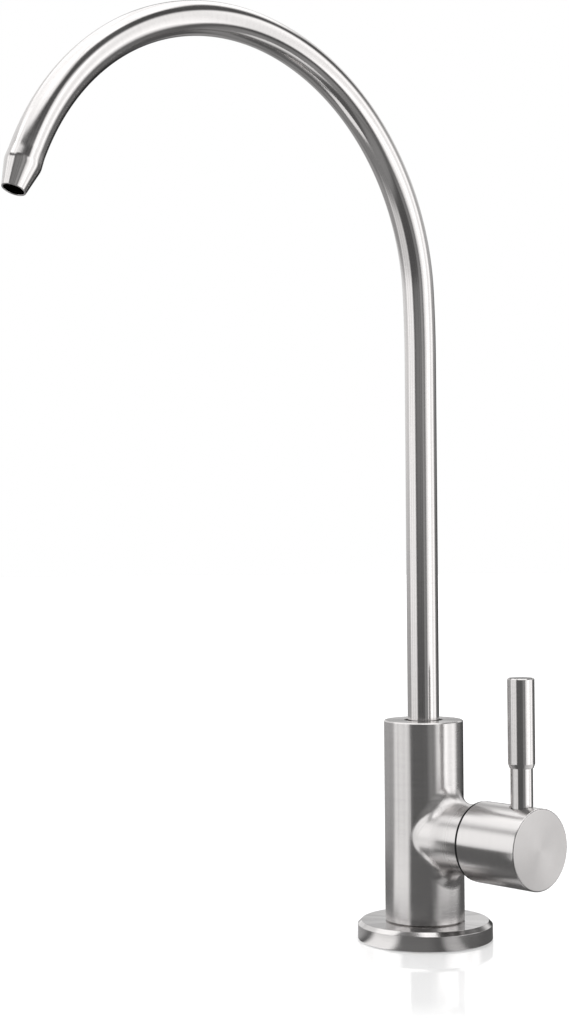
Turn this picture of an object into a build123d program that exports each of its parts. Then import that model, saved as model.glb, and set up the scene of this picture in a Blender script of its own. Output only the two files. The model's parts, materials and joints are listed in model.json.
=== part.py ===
from build123d import *
from math import sqrt
import os

# Drinking water filter tap: a gooseneck spout that swivels on a slim valve body,
# a handle at the side whose lever turns a ceramic disc valve, and the threaded
# shank, washers and nuts that clamp it to a worktop and take the filter's tube.
# Sizes are millimetres. The origin is on the vertical axis at the worktop's top,
# +Z is up, the spout points along -Y and the handle stands out along +X.

# Fits that several pieces share
running_fit = 0.05        # radial gap of a shaft that turns in a bore
seat_fit = 0.05           # radial gap of pieces that are screwed or pushed together
face_gap = 0.05           # gap between two faces that slide on each other
ring_gap = 0.02           # gap left round the section of an O-ring
edge_break = 0.2          # small chamfer on a turned edge
cut_overrun = 1.0         # how far a cut runs past an open face

# Base flange and its gasket
flange_radius = 21.0
flange_height = 6.0
flange_chamfer = 1.2
flange_lip = 2.0          # rim of the flange outside the gasket
gasket_thickness = 2.3
gasket_stand = 0.3        # how far the gasket holds the flange off the worktop
shank_clearance = 0.65    # round the shank, in the flange and the washers

# Valve body
spigot_radius = 8.0       # locates the body in the flange
spigot_depth = 1.5
column_margin = 1.65      # the column is this much larger than the side stub
column_top_chamfer = 0.35
column_foot_chamfer = 0.4
stub_wall = 1.2
stub_blend = 5.5          # soft corner between the column and the stub
chamber_floor_wall = 4.5
chamber_roof_wall = 3.5
inlet_duct_radius = 2.2
inlet_duct_wall = 2.0     # between the riser and the valve chamber
outlet_duct_radius = 1.7
outlet_duct_inset = 0.2

# Valve stack, from the seat outwards along +X
quarter_turn = 90.0       # between closed and open
seat_x = 1.0
seat_seal_thickness = 2.0
seat_seal_width = 1.3
disc_thickness = 3.0
disc_gap = 0.1            # round the fixed disc and the seat seal
disc_port_radius = 3.3
disc_port_width = 2.4
disc_port_angle = 60.0
disc_bay_width = 4.6
disc_hub_radius = 1.9
disc_lug_height = 0.5
disc_lug_width = 3.0
stem_head_thickness = 2.4
stem_head_step = 2.2      # the head is this much larger than the stem
stem_head_gap = 0.4
stem_washer_thickness = 0.6
tongue_width = 2.4
tongue_depth = 1.0
tongue_length = 10.0

# Cartridge body
barrel_foot_gap = 0.5     # the barrel stops short of the chamber's floor
barrel_wall = 1.0
flow_gap = 0.9            # round the barrel, where the water leaves
barrel_end_wall = 0.85
window_width = 6.0
window_margin = 0.4
land_length = 5.0
land_gap = 0.1
shoulder_width = 1.0
collar_thickness = 2.0
collar_gap = 0.2
neck_wall = 1.15
neck_length = 4.5
body_ring_section_radius = 0.6
body_ring_groove_width = 1.5

# Cartridge nut
nut_thread_length = 4.1
nut_hex_height = 3.0
nut_hex_step = 0.84       # the hexagon's corners lie this far inside the thread
nut_neck_gap = 1.0

# Valve stem, its O-rings and its clip
stem_radius = 4.0
stem_corner_trim = 0.04
stem_square_lead = 3.0    # length of square that shows before the hub's socket
stem_ring_section_radius = 0.55
stem_ring_groove_width = 1.4
stem_ring_inset = 3.4
stem_ring_pitch = 4.0
clip_thickness = 0.7
clip_depth = 0.75
clip_overhang = 0.3
clip_mouth_width = 5.2

# Glide ring between the stub and the handle
glide_ring_sink = 0.1     # its rim lies this far inside the hub's
seam_gap = 0.65

# Handle hub
hub_overhang = 1.5        # the hub is this much larger than the side stub
hub_wall = 2.0
hub_cavity_clearance = 2.55
hub_end_wall = 3.9
hub_end_round = 0.5
lever_inset = 8.05
socket_margin = 0.7
spot_face_radius = 3.8
spot_face_depth = 0.8

# Lever and the screw under it
lever_thread_radius = 2.5
lever_rod_radius = 3.35
lever_rod_length = 12.2
lever_tenon_radius = 2.6
lever_tenon_length = 17.0
handle_screw_length = 3.0
handle_screw_key = 2.5    # across the flats of its hexagon socket
handle_screw_key_depth = 1.5

# Lever grip
grip_radius = 4.05
grip_length = 26.6
grip_bore_extra = 1.4
grip_bevel_width = 0.5
grip_bevel_height = 1.3
grip_top_chamfer = 0.3

# Spout tube
tube_radius = 4.92
tube_wall = 0.9
spout_straight = 123.7
bend_lead_radius = 320.0  # the bend starts this gently
bend_lead_angle = 3.8
arc_radius = 76.1
arc_angle = 153.7
nozzle_lead = 3.4         # straight tube between the bend and the cone
nozzle_swell = 0.2        # the tube grows this much towards the cone
nozzle_length = 7.6
nozzle_radius = 3.38
nozzle_wall = 0.55
nozzle_blend = 13.0
nozzle_rim_round = 0.2

# Ferrule at the foot of the spout
ferrule_wall = 1.03
ferrule_bore_radius = 3.6
ferrule_land = 1.9
ferrule_upper_land = 1.4
ferrule_seat_wall = 0.6
tube_seat_depth = 4.2
spout_ring_section_radius = 0.6
spout_ring_groove_width = 1.5
retaining_groove_width = 2.2
retaining_groove_depth = 1.35
rim_depth = 6.55          # of the open ring round the tube, over the ferrule

# Washer and screw that carry and keep the spout
spout_washer_thickness = 1.4
spout_washer_width = 1.2
spout_washer_gap = 0.1
spout_screw_radius = 2.0
spout_screw_length = 4.6
spout_screw_tip_radius = 1.0
spout_screw_tip_gap = 0.3
spout_screw_sink = 0.9    # the screw lies this far inside the column's face
spout_screw_key = 2.0
spout_screw_key_depth = 1.8

# Threaded shank and the seal over it
shank_radius = 5.556      # 7/16 inch thread
shank_bore_radius = 3.0
shank_engagement = 14.5
shank_chamfer = 0.6
shank_tail = 17.0         # below the mounting nut
shank_seal_thickness = 1.0
shank_seal_gap = 0.15

# Worktop, and what clamps the tap under it
worktop_thickness = 20.0
rubber_washer_radius = 14.0
rubber_washer_thickness = 2.0
steel_washer_radius = 15.0
steel_washer_thickness = 1.5
lock_washer_radius = 9.2
lock_washer_thickness = 1.2
lock_washer_notch = 1.1
lock_washer_teeth = 12
mounting_nut_flats = 17.0
mounting_nut_height = 6.3
nut_corner_chamfer = 0.9

# Compression nut and sleeve for the filter's tube
supply_tube_radius = 3.175    # 1/4 inch tube
supply_tube_gap = 0.125
tube_stop_depth = 10.0
sleeve_length = 4.5
sleeve_wall = 1.9
sleeve_chamfer = 1.1
compression_nut_flats = 15.0
compression_engagement = 8.0
compression_lip = 2.5

# Radii that follow, from the stem outwards
stem_bore_radius = stem_radius + running_fit
neck_radius = stem_bore_radius + neck_wall
stem_head_radius = stem_radius + stem_head_step
barrel_bore_radius = stem_head_radius + stem_head_gap
barrel_radius = barrel_bore_radius + barrel_wall
chamber_radius = barrel_radius + flow_gap
nut_thread_radius = chamber_radius + shoulder_width
stub_radius = nut_thread_radius + stub_wall
hub_radius = stub_radius + hub_overhang
column_radius = stub_radius + column_margin
fixed_disc_radius = barrel_bore_radius - disc_gap
moving_disc_radius = fixed_disc_radius - disc_gap
nut_bore_radius = neck_radius + nut_neck_gap
nut_corner_radius = nut_thread_radius - nut_hex_step
stem_square_side = sqrt(2) * (stem_radius - stem_corner_trim)
clip_groove_radius = stem_radius - clip_depth

# Radii that follow, round the spout
ferrule_radius = tube_radius + ferrule_wall
socket_radius = ferrule_radius + running_fit
tube_bore_radius = tube_radius - tube_wall

# Places along the valve's axis
fixed_disc_x = seat_x + seat_seal_thickness
moving_disc_x = fixed_disc_x + disc_thickness + face_gap
stem_head_x = moving_disc_x + disc_thickness + face_gap
stem_washer_x = stem_head_x + stem_head_thickness
barrel_end_x = stem_washer_x + stem_washer_thickness + face_gap
land_x = barrel_end_x + barrel_end_wall
shoulder_x = land_x + land_length
collar_end_x = shoulder_x + collar_thickness
neck_end_x = collar_end_x + neck_length
seam_x = collar_end_x + nut_thread_length
nut_end_x = seam_x + nut_hex_height
clip_x = neck_end_x + face_gap
hub_x = seam_x + seam_gap
cavity_end_x = nut_end_x + hub_cavity_clearance
square_x = cavity_end_x - stem_square_lead
lever_x = cavity_end_x + lever_inset + lever_thread_radius
socket_end_x = lever_x + lever_thread_radius + socket_margin
stem_end_x = socket_end_x - edge_break
hub_end_x = socket_end_x + hub_end_wall
inlet_riser_x = seat_x - inlet_duct_wall - inlet_duct_radius
outlet_duct_x = seat_x + outlet_duct_inset + outlet_duct_radius

# Heights over the worktop
spigot_foot_z = flange_height - spigot_depth
shank_top_z = spigot_foot_z + shank_engagement
shank_bore_top_z = shank_top_z + shank_seal_thickness
valve_z = shank_bore_top_z + chamber_floor_wall + chamber_radius
socket_floor_z = valve_z + chamber_radius + chamber_roof_wall
ferrule_foot_z = socket_floor_z + spout_washer_thickness + face_gap
lower_groove_z = ferrule_foot_z + ferrule_land
upper_groove_z = lower_groove_z + spout_ring_groove_width + ferrule_land
retaining_groove_z = upper_groove_z + spout_ring_groove_width + ferrule_upper_land
tube_foot_z = retaining_groove_z + retaining_groove_width + ferrule_seat_wall
ferrule_top_z = tube_foot_z + tube_seat_depth
column_top_z = ferrule_top_z + rim_depth
arc_z = tube_foot_z + spout_straight
spout_screw_z = retaining_groove_z + retaining_groove_width / 2

# Heights of the handle's pieces, with the lever upright
spot_face_z = valve_z + hub_radius - spot_face_depth
handle_screw_z = valve_z + stem_square_side / 2 + face_gap
lever_foot_z = handle_screw_z + handle_screw_length + face_gap
grip_z = spot_face_z + lever_rod_length

# Depths under the worktop's top
steel_washer_z = -worktop_thickness - rubber_washer_thickness
lock_washer_z = steel_washer_z - steel_washer_thickness
mounting_nut_z = lock_washer_z - lock_washer_thickness
shank_foot_z = mounting_nut_z - mounting_nut_height - shank_tail
sleeve_foot_z = shank_foot_z - sleeve_length
inlet_z = sleeve_foot_z - compression_lip
compression_nut_top_z = shank_foot_z + compression_engagement
tube_hole_radius = supply_tube_radius + supply_tube_gap


def level(z):
    """The horizontal plane at a height over the worktop, facing up."""
    return Plane.XY.offset(z)


def underside(z):
    """The horizontal plane at a height over the worktop, facing down."""
    return Plane(origin=(0, 0, z), z_dir=(0, 0, -1))


def station(x):
    """The upright plane that crosses the valve's axis at x, facing the handle's end."""
    return Plane(origin=(x, 0, valve_z), x_dir=(0, 1, 0), z_dir=(1, 0, 0))


def lever_level(z):
    """The horizontal plane that crosses the upright lever's axis at a height."""
    return Plane(origin=(lever_x, 0, z))


def flat_ring(plane, inner_radius, outer_radius, thickness):
    """A washer that stands on a plane."""
    with BuildPart() as ring:
        with BuildSketch(plane):
            Circle(outer_radius)
            Circle(inner_radius, mode=Mode.SUBTRACT)
        extrude(amount=thickness)
    return ring


def o_ring(plane, bore_radius, section_radius):
    """An O-ring on a plane, sealing outwards against a bore."""
    with BuildPart(plane) as ring:
        Torus(bore_radius - ring_gap - section_radius, section_radius)
    return ring


def groove_floor(bore_radius, section_radius):
    """The radius at the bottom of the groove of an O-ring that seals against a bore."""
    return bore_radius - 2 * ring_gap - 2 * section_radius


def cut_groove(plane, floor_radius, land_radius, width):
    """Cuts a groove round the part being built, from a plane along its normal."""
    with BuildSketch(plane) as section:
        Circle(land_radius + cut_overrun)
        Circle(floor_radius, mode=Mode.SUBTRACT)
    extrude(section.sketch, amount=width, mode=Mode.SUBTRACT)


def hex_blank(plane, across_flats, height):
    """A hexagon bar whose corners are turned off at both ends."""
    with BuildPart() as turned_bar:
        with BuildSketch(plane):
            Circle(across_flats / sqrt(3))
        extrude(amount=height)
        chamfer(turned_bar.edges().filter_by(GeomType.CIRCLE), length=nut_corner_chamfer)
    with BuildPart() as bar:
        with BuildSketch(plane):
            RegularPolygon(across_flats / 2, side_count=6, major_radius=False)
        extrude(amount=height)
        add(turned_bar.part, mode=Mode.INTERSECT)
    return bar.part


def cut_key_socket(plane, across_flats, depth):
    """Cuts the hexagon socket for a key into a screw, against the plane's normal."""
    with BuildSketch(plane) as section:
        RegularPolygon(across_flats / 2, side_count=6, major_radius=False)
    extrude(section.sketch, amount=-depth, mode=Mode.SUBTRACT)


# Base flange, with a recess under it for the gasket
gasket_radius = flange_radius - flange_lip
flange_bore_radius = shank_radius + shank_clearance
with BuildPart() as base_flange:
    with BuildSketch(level(gasket_stand)):
        Circle(flange_radius)
    extrude(amount=flange_height - gasket_stand)
    chamfer(base_flange.edges().group_by(Axis.Z)[-1], length=flange_chamfer)
    chamfer(base_flange.edges().group_by(Axis.Z)[0], length=edge_break)
    with Locations(underside(gasket_stand)):
        Hole(gasket_radius + seat_fit, depth=gasket_thickness - gasket_stand)
    with Locations(level(flange_height)):
        CounterBoreHole(
            radius=flange_bore_radius,
            counter_bore_radius=spigot_radius + seat_fit,
            counter_bore_depth=spigot_depth,
        )

flange_gasket = flat_ring(level(0), flange_bore_radius, gasket_radius, gasket_thickness)

# Valve body: the upright column and the side stub, bored from below, above and the side
with BuildPart() as valve_body:
    with BuildSketch(level(flange_height)):
        Circle(column_radius)
    extrude(amount=column_top_z - flange_height)
    with BuildSketch(station(0)):
        Circle(stub_radius)
    extrude(amount=seam_x)
    fillet(valve_body.edges().filter_by(GeomType.BSPLINE), radius=stub_blend)
    rims = valve_body.edges().filter_by(GeomType.CIRCLE)
    chamfer(rims.sort_by(Axis.Z)[-1], length=column_top_chamfer)
    chamfer(rims.sort_by(Axis.Z)[0], length=column_foot_chamfer)
    chamfer(rims.sort_by(Axis.X)[-1], length=edge_break)
    with BuildSketch(level(flange_height)):
        Circle(spigot_radius)
    extrude(amount=-spigot_depth)
    with Locations(underside(spigot_foot_z)):
        Hole(shank_radius + seat_fit, depth=shank_bore_top_z - spigot_foot_z)
    with BuildSketch(level(shank_bore_top_z)):
        with Locations((inlet_riser_x, 0)):
            Circle(inlet_duct_radius)
    extrude(amount=valve_z - shank_bore_top_z, mode=Mode.SUBTRACT)
    with BuildSketch(station(inlet_riser_x)):
        Circle(inlet_duct_radius)
    extrude(amount=seat_x - inlet_riser_x, mode=Mode.SUBTRACT)
    with Locations(station(seam_x)):
        CounterBoreHole(
            radius=chamber_radius,
            counter_bore_radius=nut_thread_radius + seat_fit,
            counter_bore_depth=seam_x - shoulder_x,
            depth=seam_x - seat_x,
        )
    with Locations(level(column_top_z)):
        Hole(socket_radius, depth=column_top_z - socket_floor_z)
    with BuildSketch(level(valve_z)):
        with Locations((outlet_duct_x, 0)):
            Circle(outlet_duct_radius)
    extrude(amount=socket_floor_z - valve_z, mode=Mode.SUBTRACT)
    with Locations(Plane(origin=(0, column_radius, spout_screw_z), z_dir=(0, 1, 0))):
        Hole(spout_screw_radius + seat_fit, depth=column_radius)

# Spout tube: an upright run, a gooseneck bend and a nozzle drawn down to a cone
with BuildPart() as spout_tube:
    with BuildLine(Plane.YZ) as spout_route:
        Line((0, tube_foot_z), (0, arc_z))
        bend_lead = JernArc(
            start=(0, arc_z), tangent=(0, 1), radius=bend_lead_radius, arc_size=bend_lead_angle
        )
        JernArc(
            start=bend_lead @ 1, tangent=bend_lead % 1, radius=arc_radius, arc_size=arc_angle
        )
    with BuildSketch(level(tube_foot_z)):
        Circle(tube_radius)
        Circle(tube_bore_radius, mode=Mode.SUBTRACT)
    sweep(path=spout_route.wire())
    nozzle_plane = Plane(
        origin=spout_route.wire() @ 1,
        x_dir=(1, 0, 0),
        z_dir=spout_route.wire() % 1,
    )
    nozzle_end_h = nozzle_lead + nozzle_length
    with BuildSketch(nozzle_plane.rotated((90, 0, 0))):
        with BuildLine():
            FilletPolyline(
                (tube_radius, 0),
                (tube_radius + nozzle_swell, nozzle_lead),
                (nozzle_radius, nozzle_end_h),
                radius=nozzle_blend,
            )
            Polyline(
                (nozzle_radius, nozzle_end_h),
                (nozzle_radius - nozzle_wall, nozzle_end_h),
                (tube_bore_radius, nozzle_lead),
                (tube_bore_radius, 0),
                (tube_radius, 0),
            )
        make_face()
    revolve(axis=Axis(nozzle_plane.origin, nozzle_plane.z_dir))
    rim_edges = spout_tube.edges().filter_by(GeomType.CIRCLE)
    nozzle_tip = nozzle_plane.offset(nozzle_end_h).origin
    fillet(rim_edges.sort_by_distance(nozzle_tip)[:2], radius=nozzle_rim_round)

# Ferrule soldered to the foot of the tube, grooved for two O-rings and a screw's tip
with BuildPart() as spout_ferrule:
    with BuildSketch(level(ferrule_foot_z)):
        Circle(ferrule_radius)
    extrude(amount=ferrule_top_z - ferrule_foot_z)
    chamfer(spout_ferrule.edges().filter_by(GeomType.CIRCLE), length=edge_break)
    with Locations(level(ferrule_top_z)):
        CounterBoreHole(
            radius=ferrule_bore_radius,
            counter_bore_radius=tube_radius + seat_fit,
            counter_bore_depth=tube_seat_depth,
        )
    for groove_z in (lower_groove_z, upper_groove_z):
        cut_groove(
            level(groove_z),
            groove_floor(socket_radius, spout_ring_section_radius),
            ferrule_radius,
            spout_ring_groove_width,
        )
    cut_groove(
        level(retaining_groove_z),
        ferrule_radius - retaining_groove_depth,
        ferrule_radius,
        retaining_groove_width,
    )

half_spout_groove = spout_ring_groove_width / 2
spout_o_ring_lower = o_ring(
    level(lower_groove_z + half_spout_groove), socket_radius, spout_ring_section_radius
)
spout_o_ring_upper = o_ring(
    level(upper_groove_z + half_spout_groove), socket_radius, spout_ring_section_radius
)

spout_thrust_washer = flat_ring(
    level(socket_floor_z),
    socket_radius - spout_washer_gap - spout_washer_width,
    socket_radius - spout_washer_gap,
    spout_washer_thickness,
)

# Grub screw at the back of the column, whose tip runs in the ferrule's groove
screw_head_y = column_radius - spout_screw_sink
screw_tip_y = ferrule_radius - retaining_groove_depth + spout_screw_tip_gap
with BuildPart() as spout_grub_screw:
    with BuildSketch(Plane(origin=(0, screw_head_y, spout_screw_z), z_dir=(0, -1, 0))):
        Circle(spout_screw_radius)
    extrude(amount=spout_screw_length)
    chamfer(spout_grub_screw.edges().filter_by(GeomType.CIRCLE), length=edge_break)
    with BuildSketch(Plane(origin=(0, screw_tip_y, spout_screw_z), z_dir=(0, 1, 0))):
        Circle(spout_screw_tip_radius)
    extrude(amount=screw_head_y - spout_screw_length - screw_tip_y)
    cut_key_socket(
        Plane(origin=(0, screw_head_y, spout_screw_z), z_dir=(0, 1, 0)),
        spout_screw_key,
        spout_screw_key_depth,
    )

# Cartridge body: barrel, sealing land, collar and neck, turned from one bar
with BuildPart() as cartridge_body:
    with BuildSketch(station(seat_x + barrel_foot_gap)):
        Circle(barrel_radius)
    extrude(amount=land_x - seat_x - barrel_foot_gap)
    with BuildSketch(station(land_x)):
        Circle(chamber_radius - land_gap)
    extrude(amount=land_length)
    with BuildSketch(station(shoulder_x)):
        Circle(nut_thread_radius - collar_gap)
    extrude(amount=collar_thickness)
    with BuildSketch(station(collar_end_x)):
        Circle(neck_radius)
    extrude(amount=neck_length)
    with Locations(station(neck_end_x)):
        Hole(stem_bore_radius)
    with BuildSketch(station(seat_x)):
        Circle(barrel_bore_radius)
    extrude(amount=barrel_end_x - seat_x, mode=Mode.SUBTRACT)
    with BuildSketch(station(moving_disc_x + window_margin)):
        Rectangle(window_width, 2 * (barrel_radius + cut_overrun))
    extrude(amount=stem_washer_x - window_margin - moving_disc_x, mode=Mode.SUBTRACT)
    with BuildSketch(station(seat_x)):
        Rectangle(2 * (fixed_disc_radius + disc_lug_height + disc_gap), disc_lug_width + disc_gap)
    extrude(amount=fixed_disc_x + disc_thickness - seat_x, mode=Mode.SUBTRACT)
    cut_groove(
        station(land_x + (land_length - body_ring_groove_width) / 2),
        groove_floor(chamber_radius, body_ring_section_radius),
        chamber_radius,
        body_ring_groove_width,
    )

cartridge_o_ring = o_ring(
    station(land_x + land_length / 2), chamber_radius, body_ring_section_radius
)

seat_seal = flat_ring(
    station(seat_x),
    fixed_disc_radius - seat_seal_width,
    fixed_disc_radius,
    seat_seal_thickness,
)

# Fixed ceramic disc: two curved ports, and two lugs that stop it from turning
with BuildPart() as fixed_disc:
    with BuildSketch(station(fixed_disc_x)):
        Circle(fixed_disc_radius)
        Rectangle(2 * (fixed_disc_radius + disc_lug_height), disc_lug_width)
        for port_side in (-1, 1):
            SlotArc(
                CenterArc(
                    (0, 0),
                    disc_port_radius,
                    port_side * quarter_turn - disc_port_angle / 2,
                    disc_port_angle,
                    mode=Mode.PRIVATE,
                ),
                height=disc_port_width,
                mode=Mode.SUBTRACT,
            )
    extrude(amount=disc_thickness)

# Moving ceramic disc: two open bays, and a slot across its back for the stem's tongue
with BuildPart() as moving_disc:
    with BuildSketch(station(moving_disc_x)):
        Circle(moving_disc_radius)
        with Locations((moving_disc_radius, 0), (-moving_disc_radius, 0)):
            Rectangle(
                2 * (moving_disc_radius - disc_hub_radius), disc_bay_width, mode=Mode.SUBTRACT
            )
    extrude(amount=disc_thickness)
    with BuildSketch(station(moving_disc_x + disc_thickness)):
        Rectangle(tongue_width + 2 * seat_fit, 2 * (moving_disc_radius + cut_overrun))
    extrude(amount=-tongue_depth - face_gap, mode=Mode.SUBTRACT)

stem_thrust_washer = flat_ring(
    station(stem_washer_x),
    stem_bore_radius,
    stem_head_radius,
    stem_washer_thickness,
)

# Valve stem: head and tongue, grooved shaft, and the square that the hub sits on
with BuildPart() as valve_stem:
    with BuildSketch(station(stem_head_x)):
        Circle(stem_head_radius)
    extrude(amount=stem_head_thickness)
    with BuildSketch(station(stem_head_x)):
        Rectangle(tongue_width, tongue_length)
    extrude(amount=-tongue_depth)
    with BuildSketch(station(stem_washer_x)):
        Circle(stem_radius)
    extrude(amount=square_x - stem_washer_x)
    with BuildSketch(station(square_x)):
        Rectangle(stem_square_side, stem_square_side)
    extrude(amount=stem_end_x - square_x)
    chamfer(valve_stem.edges().group_by(Axis.X)[-1], length=edge_break)
    for groove_x in (
        barrel_end_x + stem_ring_inset,
        barrel_end_x + stem_ring_inset + stem_ring_pitch,
    ):
        cut_groove(
            station(groove_x - stem_ring_groove_width / 2),
            groove_floor(stem_bore_radius, stem_ring_section_radius),
            stem_radius,
            stem_ring_groove_width,
        )
    cut_groove(station(neck_end_x), clip_groove_radius, stem_radius, clip_thickness + 2 * face_gap)

stem_o_ring_inner = o_ring(
    station(barrel_end_x + stem_ring_inset), stem_bore_radius, stem_ring_section_radius
)
stem_o_ring_outer = o_ring(
    station(barrel_end_x + stem_ring_inset + stem_ring_pitch),
    stem_bore_radius,
    stem_ring_section_radius,
)

# Open clip that keeps the stem from being pushed out
with BuildPart() as stem_clip:
    with BuildSketch(station(clip_x)):
        Circle(neck_radius + clip_overhang)
        Circle(clip_groove_radius + seat_fit, mode=Mode.SUBTRACT)
        with Locations((0, -neck_radius)):
            Rectangle(clip_mouth_width, 2 * neck_radius - clip_mouth_width, mode=Mode.SUBTRACT)
    extrude(amount=clip_thickness)

# Cartridge nut: a threaded ring that holds the collar down, with a hexagon outside
with BuildPart() as cartridge_nut:
    with BuildSketch(station(collar_end_x)):
        Circle(nut_thread_radius)
    extrude(amount=nut_thread_length)
    with BuildSketch(station(seam_x)):
        RegularPolygon(nut_corner_radius, side_count=6)
    extrude(amount=nut_hex_height)
    with Locations(station(nut_end_x)):
        Hole(nut_bore_radius)

# Glide ring: it lies round the nut on the stub's end, and its rim fills the seam
handle_glide_ring = flat_ring(
    station(seam_x),
    nut_corner_radius + seat_fit,
    hub_radius - glide_ring_sink,
    seam_gap - face_gap,
)

# Handle hub: hollow over the cartridge nut, a square socket, and the lever's hole
with BuildPart() as handle_hub:
    with BuildSketch(station(hub_x)):
        Circle(hub_radius)
    extrude(amount=hub_end_x - hub_x)
    chamfer(handle_hub.edges().group_by(Axis.X)[0], length=edge_break)
    fillet(handle_hub.edges().group_by(Axis.X)[-1], radius=hub_end_round)
    with BuildSketch(station(hub_x)):
        Circle(hub_radius - hub_wall)
    extrude(amount=cavity_end_x - hub_x, mode=Mode.SUBTRACT)
    with BuildSketch(station(cavity_end_x)):
        Rectangle(stem_square_side + 2 * seat_fit, stem_square_side + 2 * seat_fit)
    extrude(amount=socket_end_x - cavity_end_x, mode=Mode.SUBTRACT)
    with Locations(lever_level(valve_z + hub_radius)):
        CounterBoreHole(
            radius=lever_thread_radius + seat_fit,
            counter_bore_radius=spot_face_radius,
            counter_bore_depth=spot_face_depth,
            depth=hub_radius,
        )

# Grub screw that locks the hub on the stem, under the lever
with BuildPart() as handle_grub_screw:
    with BuildSketch(lever_level(handle_screw_z)):
        Circle(lever_thread_radius)
    extrude(amount=handle_screw_length)
    chamfer(handle_grub_screw.edges().filter_by(GeomType.CIRCLE), length=edge_break)
    cut_key_socket(
        lever_level(handle_screw_z + handle_screw_length),
        handle_screw_key,
        handle_screw_key_depth,
    )

# Lever rod: screwed into the hub below, and into the grip above
with BuildPart() as lever_rod:
    with BuildSketch(lever_level(lever_foot_z)):
        Circle(lever_thread_radius)
    extrude(amount=spot_face_z - lever_foot_z)
    chamfer(lever_rod.edges().group_by(Axis.Z)[0], length=edge_break)
    with BuildSketch(lever_level(spot_face_z)):
        Circle(lever_rod_radius)
    extrude(amount=lever_rod_length)
    with BuildSketch(lever_level(grip_z)):
        Circle(lever_tenon_radius)
    extrude(amount=lever_tenon_length)
    chamfer(lever_rod.edges().group_by(Axis.Z)[-1], length=edge_break)

# Lever grip: a sleeve with a blind bore, bevelled at its foot
grip_bore_radius = lever_tenon_radius + seat_fit
grip_bore_depth = lever_tenon_length + grip_bore_extra
with BuildPart() as lever_grip:
    with BuildSketch(Plane(origin=(lever_x, 0, grip_z), x_dir=(1, 0, 0), z_dir=(0, -1, 0))):
        with BuildLine():
            Polyline(
                (grip_bore_radius, 0),
                (grip_radius - grip_bevel_width, 0),
                (grip_radius, grip_bevel_height),
                (grip_radius, grip_length - grip_top_chamfer),
                (grip_radius - grip_top_chamfer, grip_length),
                (0, grip_length),
                (0, grip_bore_depth),
                (grip_bore_radius, grip_bore_depth),
                close=True,
            )
        make_face()
    revolve(axis=Axis((lever_x, 0, grip_z), (0, 0, 1)))

# Threaded shank, bored through, with a socket below for the filter's tube
with BuildPart() as threaded_shank:
    with BuildSketch(level(shank_foot_z)):
        Circle(shank_radius)
    extrude(amount=shank_top_z - shank_foot_z)
    chamfer(threaded_shank.edges().filter_by(GeomType.CIRCLE), length=shank_chamfer)
    with Locations(underside(shank_foot_z)):
        CounterBoreHole(
            radius=shank_bore_radius,
            counter_bore_radius=tube_hole_radius,
            counter_bore_depth=tube_stop_depth,
        )

shank_seal = flat_ring(
    level(shank_top_z),
    shank_bore_radius + shank_seal_gap,
    shank_radius - shank_seal_gap,
    shank_seal_thickness,
)

deck_rubber_washer = flat_ring(
    level(steel_washer_z), flange_bore_radius, rubber_washer_radius, rubber_washer_thickness
)
deck_steel_washer = flat_ring(
    level(lock_washer_z), flange_bore_radius, steel_washer_radius, steel_washer_thickness
)

# Toothed lock washer
with BuildPart() as lock_washer:
    with BuildSketch(level(mounting_nut_z)):
        Circle(lock_washer_radius)
        Circle(shank_radius + shank_clearance / 2, mode=Mode.SUBTRACT)
        with PolarLocations(lock_washer_radius, lock_washer_teeth):
            RegularPolygon(lock_washer_notch, side_count=3, mode=Mode.SUBTRACT)
    extrude(amount=lock_washer_thickness)

# Mounting nut
with BuildPart() as mounting_nut:
    add(hex_blank(underside(mounting_nut_z), mounting_nut_flats, mounting_nut_height))
    with Locations(underside(mounting_nut_z - mounting_nut_height)):
        Hole(shank_radius + seat_fit)

# Compression nut: it draws the sleeve onto the tube and against the shank's end
with BuildPart() as inlet_compression_nut:
    add(
        hex_blank(
            underside(compression_nut_top_z), compression_nut_flats, compression_nut_top_z - inlet_z
        )
    )
    with Locations(level(compression_nut_top_z)):
        CounterBoreHole(
            radius=tube_hole_radius,
            counter_bore_radius=shank_radius + seat_fit,
            counter_bore_depth=compression_nut_top_z - sleeve_foot_z,
        )

# Sleeve that the compression nut squeezes onto the tube
with BuildPart() as inlet_sleeve:
    with BuildSketch(level(sleeve_foot_z)):
        Circle(tube_hole_radius + sleeve_wall)
    extrude(amount=sleeve_length)
    chamfer(inlet_sleeve.edges().filter_by(GeomType.CIRCLE), length=sleeve_chamfer)
    with Locations(level(shank_foot_z)):
        Hole(tube_hole_radius)

pieces = {
    "base_flange": base_flange,
    "flange_gasket": flange_gasket,
    "valve_body": valve_body,
    "spout_tube": spout_tube,
    "spout_ferrule": spout_ferrule,
    "spout_o_ring_lower": spout_o_ring_lower,
    "spout_o_ring_upper": spout_o_ring_upper,
    "spout_thrust_washer": spout_thrust_washer,
    "spout_grub_screw": spout_grub_screw,
    "cartridge_body": cartridge_body,
    "cartridge_o_ring": cartridge_o_ring,
    "cartridge_nut": cartridge_nut,
    "seat_seal": seat_seal,
    "fixed_disc": fixed_disc,
    "moving_disc": moving_disc,
    "valve_stem": valve_stem,
    "stem_thrust_washer": stem_thrust_washer,
    "stem_o_ring_inner": stem_o_ring_inner,
    "stem_o_ring_outer": stem_o_ring_outer,
    "stem_clip": stem_clip,
    "handle_glide_ring": handle_glide_ring,
    "handle_hub": handle_hub,
    "handle_grub_screw": handle_grub_screw,
    "lever_rod": lever_rod,
    "lever_grip": lever_grip,
    "threaded_shank": threaded_shank,
    "shank_seal": shank_seal,
    "deck_rubber_washer": deck_rubber_washer,
    "deck_steel_washer": deck_steel_washer,
    "lock_washer": lock_washer,
    "mounting_nut": mounting_nut,
    "inlet_compression_nut": inlet_compression_nut,
    "inlet_sleeve": inlet_sleeve,
}

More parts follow.
